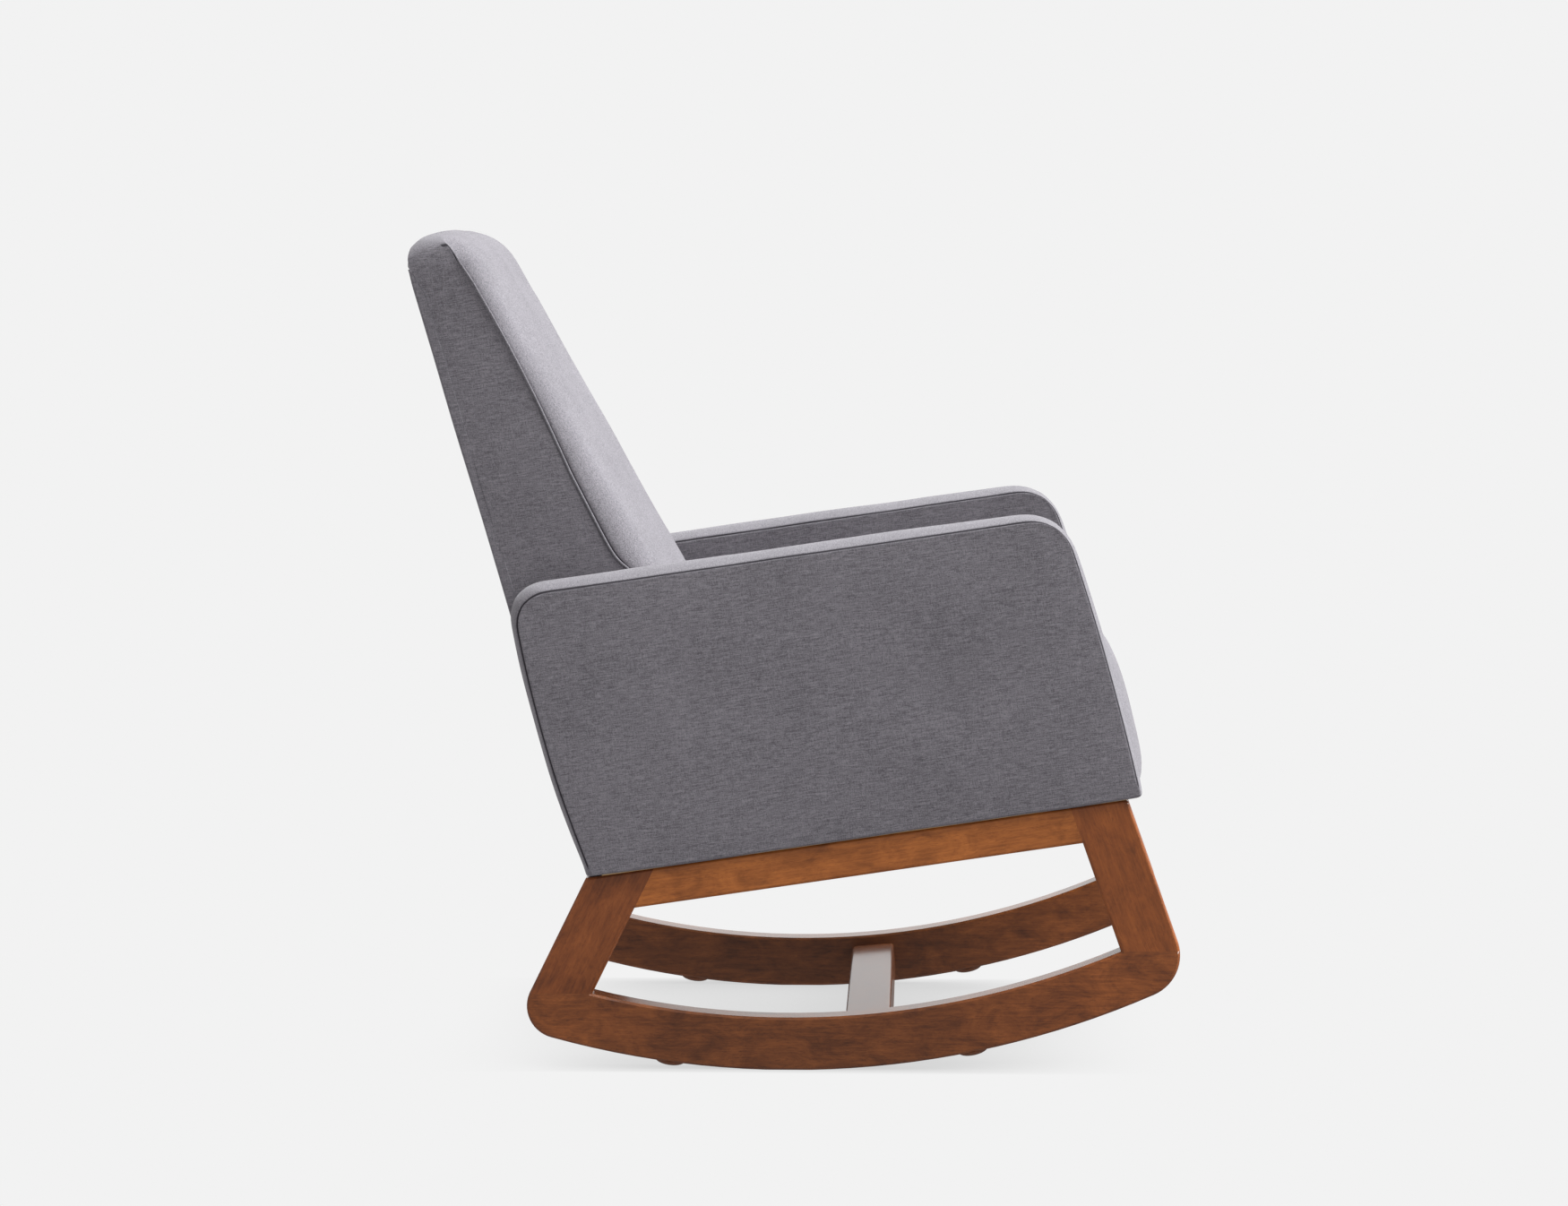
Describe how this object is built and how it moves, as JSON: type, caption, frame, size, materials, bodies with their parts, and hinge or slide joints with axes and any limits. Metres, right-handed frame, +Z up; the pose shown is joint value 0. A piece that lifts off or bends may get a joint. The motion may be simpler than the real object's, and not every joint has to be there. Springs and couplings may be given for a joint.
{
  "type": "upholstered rocking chair",
  "caption": "Upholstered nursery rocking chair: a padded tub with a tall raked back and padded arms, on two dowelled wooden rocker frames with curved runners joined by a stretcher.",
  "frame": {"origin": "on the floor, under the centre of the chair's bounding box", "axes": "+Z up; the front faces -Y; +X is the sitter's left; the runners stand on the floor at Y = +3.6 mm"},
  "size_m": [0.66, 0.8756, 0.9438],
  "materials": {
    "stained_hardwood": "satin walnut-brown stain and clear lacquer",
    "upholstery_cloth": "matte mid-grey heathered weave over foam",
    "frame_timber": "planed, unfinished",
    "plywood": "sanded, unfinished",
    "beech_dowel": "turned, unfinished",
    "pad_plastic": "satin dark brown",
    "spring_steel": "oil-hardened wire",
    "zinc_steel": "bright zinc plating",
    "felt": "needled felt",
    "dust_cloth": "black nonwoven cloth",
    "webbing": "woven elastic webbing"
  },
  "bodies": {
    "root": {"arm_screws": "zinc_steel", "back_bottom_rail": "frame_timber", "back_cushion": "upholstery_cloth", "back_left_stile": "plywood", "back_middle_rail": "frame_timber", "back_right_stile": "plywood", "back_screws": "zinc_steel", "back_top_rail": "frame_timber", "back_webbing": "webbing", "base_bolts": "zinc_steel", "base_inserts": "zinc_steel", "base_washers": "zinc_steel", "corner_blocks": "frame_timber", "dust_cover": "dust_cloth", "frame_dowels": "beech_dowel", "left_arm_bottom_rail": "frame_timber", "left_arm_front_stile": "frame_timber", "left_arm_pad": "upholstery_cloth", "left_arm_rear_stile": "frame_timber", "left_arm_top_rail": "frame_timber", "left_front_post": "stained_hardwood", "left_rear_post": "stained_hardwood", "left_runner": "stained_hardwood", "left_top_rail": "stained_hardwood", "outside_back_panel": "upholstery_cloth", "right_arm_bottom_rail": "frame_timber", "right_arm_front_stile": "frame_timber", "right_arm_pad": "upholstery_cloth", "right_arm_rear_stile": "frame_timber", "right_arm_top_rail": "frame_timber", "right_front_post": "stained_hardwood", "right_rear_post": "stained_hardwood", "right_runner": "stained_hardwood", "right_top_rail": "stained_hardwood", "seat_cushion": "upholstery_cloth", "seat_front_rail": "frame_timber", "seat_left_rail": "frame_timber", "seat_rear_rail": "frame_timber", "seat_right_rail": "frame_timber", "seat_springs": "spring_steel", "spring_clips": "zinc_steel", "spring_cover": "felt", "stop_pads": "pad_plastic", "stretcher": "stained_hardwood"}
  },
  "joints": []
}
